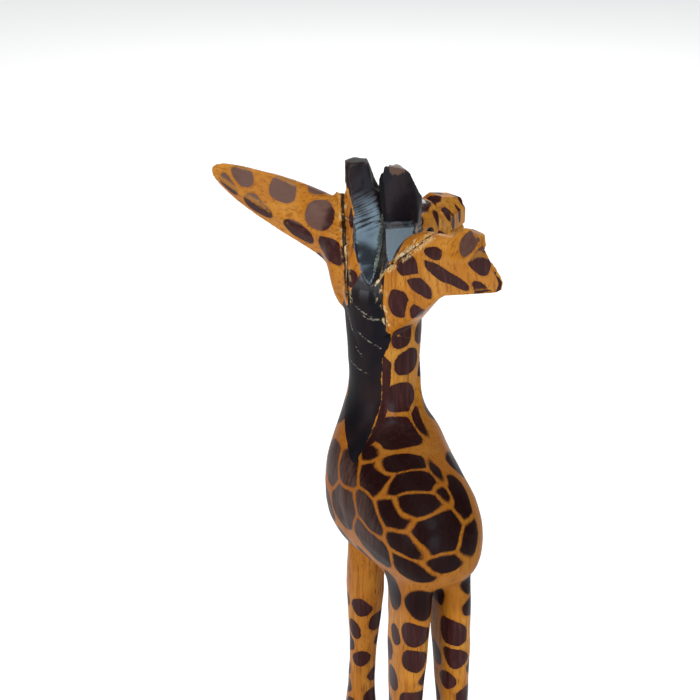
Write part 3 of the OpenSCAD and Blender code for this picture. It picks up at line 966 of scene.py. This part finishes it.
def painted_wood(name, grain):
    """Varnished wood with its painted marks. The grain is how fast it changes along X, Y, Z."""
    s = Shader(name)
    streaks = s.noise(s.stretched([0.9 * g for g in grain]), 3.0, 0.6)
    pores = s.noise(s.stretched([2.3 * g for g in grain]), 2.0, 0.5)
    clouds = s.noise(s.stretched((0.09, 0.09, 0.05)), 2.0, 0.5)
    ragged = s.noise(s.stretched((1.4, 1.4, 1.4)), 3.0, 0.6)
    edge = s.noise(s.stretched((0.45, 0.45, 0.45)), 2.0, 0.5)

    wood = s.mix(s.span(clouds, 0.35, 0.68), HONEY, HONEY_LIGHT)
    wood = s.mix(s.span(streaks, 0.48, 0.68, 0.0, 0.75), wood, HONEY_DEEP)
    wood = s.mix(s.span(pores, 0.60, 0.70, 0.0, 0.75), wood, PORE)

    # The maroon spots and strip, with frayed edges that are softer on the body
    dye = s.mix(s.span(streaks, 0.40, 0.75, 0.0, 0.75), MAROON, MAROON_LIGHT)
    stray = s.sum("MULTIPLY_ADD", ragged, 0.55, -0.275)
    stray = s.sum("MULTIPLY_ADD", edge, 0.5, s.sum("ADD", stray, -0.25))

    def frayed(name):
        return s.sum("ADD", s.attribute(name), stray)

    spot, strip = frayed("spot"), frayed("strip")
    soft = s.span(s.attribute("deep"), 0, 1, 0.13, 0.42)
    dyed = s.span(s.sum("MAXIMUM", spot, strip), s.sum("MULTIPLY", soft, -1), soft)
    halo = s.span(spot, -1.1, 0.1, 0.0, 0.35)
    colour = s.mix(halo, wood, HONEY_DEEP)
    # Painted shade on the body, from the tops of the legs to the withers: the wood and the dye
    # are darkened there by the deep share
    colour = s.mix(s.span(s.attribute("deep"), 0, 1, 0, 0.62), colour, HONEY_DEEP)
    dye = s.mix(s.span(s.attribute("deep"), 0, 1, 0, 0.9), dye, MAROON_SHADED)
    # Painted sheen: the dye is lightened above the ridges of the ears and on the left flank, as
    # gloss would lighten it
    painted_sheen = s.span(s.sum("MULTIPLY_ADD", streaks, 0.8, s.attribute("painted_sheen")), 0.4, 1.5, 0.0, 0.9)
    dye = s.mix(painted_sheen, dye, MAROON_SHEEN)
    colour = s.mix(dyed, colour, dye)

    # The black mane, horns, hooves and eyes
    mane = s.span(frayed("mane"), -0.13, 0.13)
    ink = s.mix(s.span(clouds, 0.4, 0.65), BLACK, BLACK_BROWN)
    colour = s.mix(mane, colour, ink)
    hoof = s.span(frayed("hoof"), -0.15, 0.15)
    eye = s.span(s.attribute("eye"), -0.1, 0.15)
    colour = s.mix(s.sum("MAXIMUM", hoof, eye), colour, BLACK)

    # Painted shade in the open cracks of the glued seams, and smeared filler along parts of them
    blotch = s.noise(s.stretched((0.22, 0.22, 0.22)), 2.0, 0.6)
    patchy = s.sum("MULTIPLY", s.span(blotch, 0.47, 0.56), s.span(ragged, 0.44, 0.52))
    for side, reach, share, crack in (("left", 1.6, 0.6, 0.75), ("right", 2.2, 0.8, 0.35)):
        gap = s.sum("MULTIPLY_ADD", ragged, 1.5, s.sum("ADD", s.attribute(side + "_seam"), -0.75))
        smear = s.sum("MULTIPLY", s.span(gap, reach - 0.6, reach + 0.3, share, 0.0), patchy)
        colour = s.mix(smear, colour, RESIDUE)
        gap = s.sum("MULTIPLY_ADD", edge, 1.2, s.sum("ADD", s.attribute(side + "_seam"), -0.6))
        colour = s.mix(s.span(gap, crack - 0.3, crack + 0.1, 0.95, 0.0), colour, CRACK_SHADE)

    # Wear on the sharp edges, and the scratches
    edges = s.sum("MULTIPLY_ADD", ragged, 0.16, s.sum("ADD", s.attribute("edge"), -0.08))
    worn = s.mix(mane, HONEY_LIGHT, WORN_BLACK)
    colour = s.mix(s.span(edges, 0.05, 0.14, 0.0, 0.5), colour, worn)
    scratch = s.sum("MULTIPLY_ADD", ragged, 2.4, s.attribute("scratch"))
    colour = s.mix(s.span(scratch, 1.1, 1.5, 0.45, 0.0), colour, SCRATCHED)

    height = s.sum("MULTIPLY_ADD", pores, -0.35, s.sum("MULTIPLY", streaks, 0.5))
    rough = s.span(clouds, 0.3, 0.7, 0.34, 0.46)
    rough = s.sum("MULTIPLY_ADD", mane, 0.12, rough)
    # The newly cut black facets round the horns are glossier than the old dye of the mane
    cut = s.sum("MULTIPLY", mane, s.attribute("cut"))
    rough = s.sum("MULTIPLY_ADD", cut, -0.24, rough)
    coat = s.sum("MULTIPLY_ADD", s.attribute("deep"), -0.06, 0.08)
    coat = s.sum("MULTIPLY_ADD", mane, -0.02, coat)
    coat = s.sum("MULTIPLY_ADD", cut, 0.88, coat)
    s.set(base_color=colour, roughness=rough, specular_ior_level=0.04, coat_weight=coat,
          coat_roughness=0.2, coat_ior=1.45, normal=s.bump(height, 0.12, 0.6))
    return s.material


def blackened_wood(name):
    """The right horn's black, with end grain showing on its top."""
    s = Shader(name)
    marks = s.noise(s.stretched((0.9, 0.12, 1.1), (0.4, 0.5, 0.2)), 2.0, 0.5)
    clouds = s.noise(s.stretched((0.16, 0.16, 0.10)), 2.0, 0.5)
    fine = s.noise(s.stretched((1.8, 1.8, 0.5)), 3.0, 0.6)
    colour = s.mix(s.span(clouds, 0.42, 0.68), BLACK, BLACK_BROWN)
    colour = s.mix(s.span(fine, 0.60, 0.75, 0.0, 0.5), colour, BLACK_DUSTY)
    worn = s.span(s.sum("MULTIPLY_ADD", fine, 2.2, s.sum("ADD", s.attribute("worn"), -1.1)),
                  -0.2, 0.5, 0.0, 0.6)
    colour = s.mix(worn, colour, END_GRAIN)
    edges = s.sum("MULTIPLY_ADD", fine, 0.16, s.sum("ADD", s.attribute("edge"), -0.08))
    colour = s.mix(s.span(edges, 0.05, 0.14, 0.0, 0.5), colour, WORN_BLACK)
    height = s.sum("MULTIPLY_ADD", marks, 0.7, s.sum("MULTIPLY", fine, 0.15))
    rough = s.span(clouds, 0.3, 0.7, 0.26, 0.42)
    s.set(base_color=colour, roughness=rough, specular_ior_level=0.08, coat_weight=0.14,
          coat_roughness=0.2, coat_ior=1.45, normal=s.bump(height, 0.2, 0.6))
    return s.material


def filler_material(name, pale, dull, dark, holes):
    """Crumbly filler of two tones, with dark holes. More of it is holes as that rises."""
    s = Shader(name)
    grains = s.noise(s.stretched((1.7, 1.7, 1.7)), 3.0, 0.65)
    clouds = s.noise(s.stretched((0.35, 0.35, 0.35)), 2.0, 0.6)
    colour = s.mix(s.span(clouds, 0.43, 0.57), dull, pale)
    colour = s.mix(s.span(grains, holes - 0.1, holes, 0.9, 0.0), colour, dark)
    s.set(base_color=colour, roughness=0.7, normal=s.bump(grains, 0.4, 0.8))
    return s.material


def bare_wood(name):
    s = Shader(name)
    streaks = s.noise(s.stretched((1.6, 1.6, 1.6)), 3.0, 0.6)
    colour = s.mix(s.span(streaks, 0.35, 0.7), DOWEL_LIGHT, DOWEL_DARK)
    s.set(base_color=colour, roughness=0.6, normal=s.bump(streaks, 0.1, 0.6))
    return s.material


materials = {
    "trunk": painted_wood("painted_trunk", (1.0, 1.0, 0.07)),
    "left_ear": painted_wood("painted_left_ear", (0.16, 0.5, 0.8)),
    "right_ear": painted_wood("painted_right_ear", (1.0, 1.0, 0.10)),
    "left_horn": painted_wood("painted_left_horn", (1.0, 1.0, 0.10)),
    "right_horn": blackened_wood("blackened_right_horn"),
}
for name, piece in pieces.items():
    piece.data.materials.clear()
    piece.data.materials.append(materials[name])
    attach(piece, "root")
    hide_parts(name)


# ---- The fillers
# A bead's thickness and how deep its middle lies, in mm, and the stations over which it tapers
BEAD_THICK, BEAD_SUNK, BEAD_TAPER = 0.32, 0.12, 6


def filler_strip(name, node, material, path, widths):
    """A ragged bead of filler pressed into a seam, along a path in the head's frame."""
    stations, around = 60, 14
    keys = np.array(path, float)
    share = np.linspace(0, len(keys) - 1, stations)
    centre = np.stack([np.interp(share, range(len(keys)), keys[:, k]) for k in range(3)], 1)
    width = np.interp(share, np.linspace(0, len(keys) - 1, len(widths)), widths)
    bm = bmesh.new()
    rings = []
    for k in range(stations):
        point, way, _, _ = surface.find_nearest(Vector(from_head(centre[k])))
        before, after = centre[max(k - 1, 0)], centre[min(k + 1, stations - 1)]
        side = Vector(from_head(after) - from_head(before)).cross(way).normalized()
        from_end = min(k, stations - 1 - k) + 0.4
        ends = math.sin(math.pi * min(1, from_end / BEAD_TAPER) / 2)
        ring = []
        for j in range(around):
            turn = math.tau * j / around
            offset = side * math.cos(turn) * width[k] * ends
            offset += way * math.sin(turn) * BEAD_THICK * ends
            ring.append(bm.verts.new(point - way * BEAD_SUNK * MM + offset * MM))
        rings.append(ring)
    for first, second in zip(rings, rings[1:]):
        for j in range(around):
            bm.faces.new((first[j], first[(j + 1) % around], second[(j + 1) % around], second[j]))
    bm.faces.new(rings[0][::-1])
    bm.faces.new(rings[-1])
    bmesh.ops.recalc_face_normals(bm, faces=bm.faces)
    mesh = bpy.data.meshes.new(name)
    bm.to_mesh(mesh)
    piece = linked(name, mesh)
    with_modifier(piece, "SUBSURF", levels=1)
    points, ways = coordinates(piece.data), normals(piece.data)
    mm = points / MM
    lumps = 0.12 * wander(mm, 1.6, 61) + 0.08 * wander(mm, 0.7, 62) + 0.16 * wander(mm, 5, 63)
    set_coordinates(piece.data, points + ways * lumps[:, None] * MM)
    piece.data.shade_smooth()
    piece.data.materials.append(material)
    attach(piece, "root")
    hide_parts(node)


grey_filler = filler_material("grey_filler", (0.145, 0.150, 0.105), (0.055, 0.062, 0.050),
                              (0.008, 0.006, 0.005), 0.50)
wood_filler = filler_material("wood_filler", (0.60, 0.44, 0.235), (0.36, 0.19, 0.055),
                              (0.045, 0.022, 0.010), 0.46)
filler_strip("horn_seam_bead", "horn_seam_filler", grey_filler,
             [(-1.9, -1.4, 18.0), (-2.3, 0.8, 10.5), (-2.8, 2.6, 5), (-3.3, 4.6, 0),
              (-4.4, 8, -5.5)],
             (0.6, 1.2, 1.3, 1.1, 0.5))
filler_strip("left_ear_seam_bead", "left_ear_seam_filler", wood_filler,
             [(11.5, 5.0, 8), (8.6, 8.0, 5), (6.8, 9.6, -1), (5.4, 10.6, -8), (4.9, 10.6, -14)],
             (0.12, 0.2, 0.3, 0.2, 0.12))
filler_strip("right_ear_seam_bead", "right_ear_seam_filler", wood_filler,
             [(-7.0, 11.0, -8.5), (-9.9, 9.6, -3), (-12.5, 9.2, 0.8), (-16, 9, 4.4),
              (-20.5, 8.2, 8.6), (-26, 7.8, 13)],
             (0.25, 0.55, 0.7, 0.6, 0.6, 0.2))

dowel_material = bare_wood("dowel_wood")
for node in ("left_ear_dowel", "right_ear_dowel"):
    mesh = frame["nodes"][node].data
    mesh.materials.clear()
    mesh.materials.append(dowel_material)


# ---- The floor
floor_mesh = bpy.data.meshes.new("floor")
FLOOR_HALF = 2.6
floor_corners = [(x * FLOOR_HALF, y * FLOOR_HALF, 0)
                 for x, y in ((-1, -1), (1, -1), (1, 1), (-1, 1))]
floor_mesh.from_pydata(floor_corners, [], [(0, 1, 2, 3)])
floor = linked("floor", floor_mesh)
floor_shader = Shader("pale_floor")
speck = floor_shader.noise(floor_shader.stretched((0.02, 0.02, 0.02)), 2.0, 0.5)
floor_shader.set(base_color=floor_shader.mix(speck, FLOOR_DARK, FLOOR_LIGHT),
                 roughness=0.8, emission_color=(1.0, 1.0, 1.0, 1.0), emission_strength=0.64)
floor_mesh.materials.append(floor_shader.material)
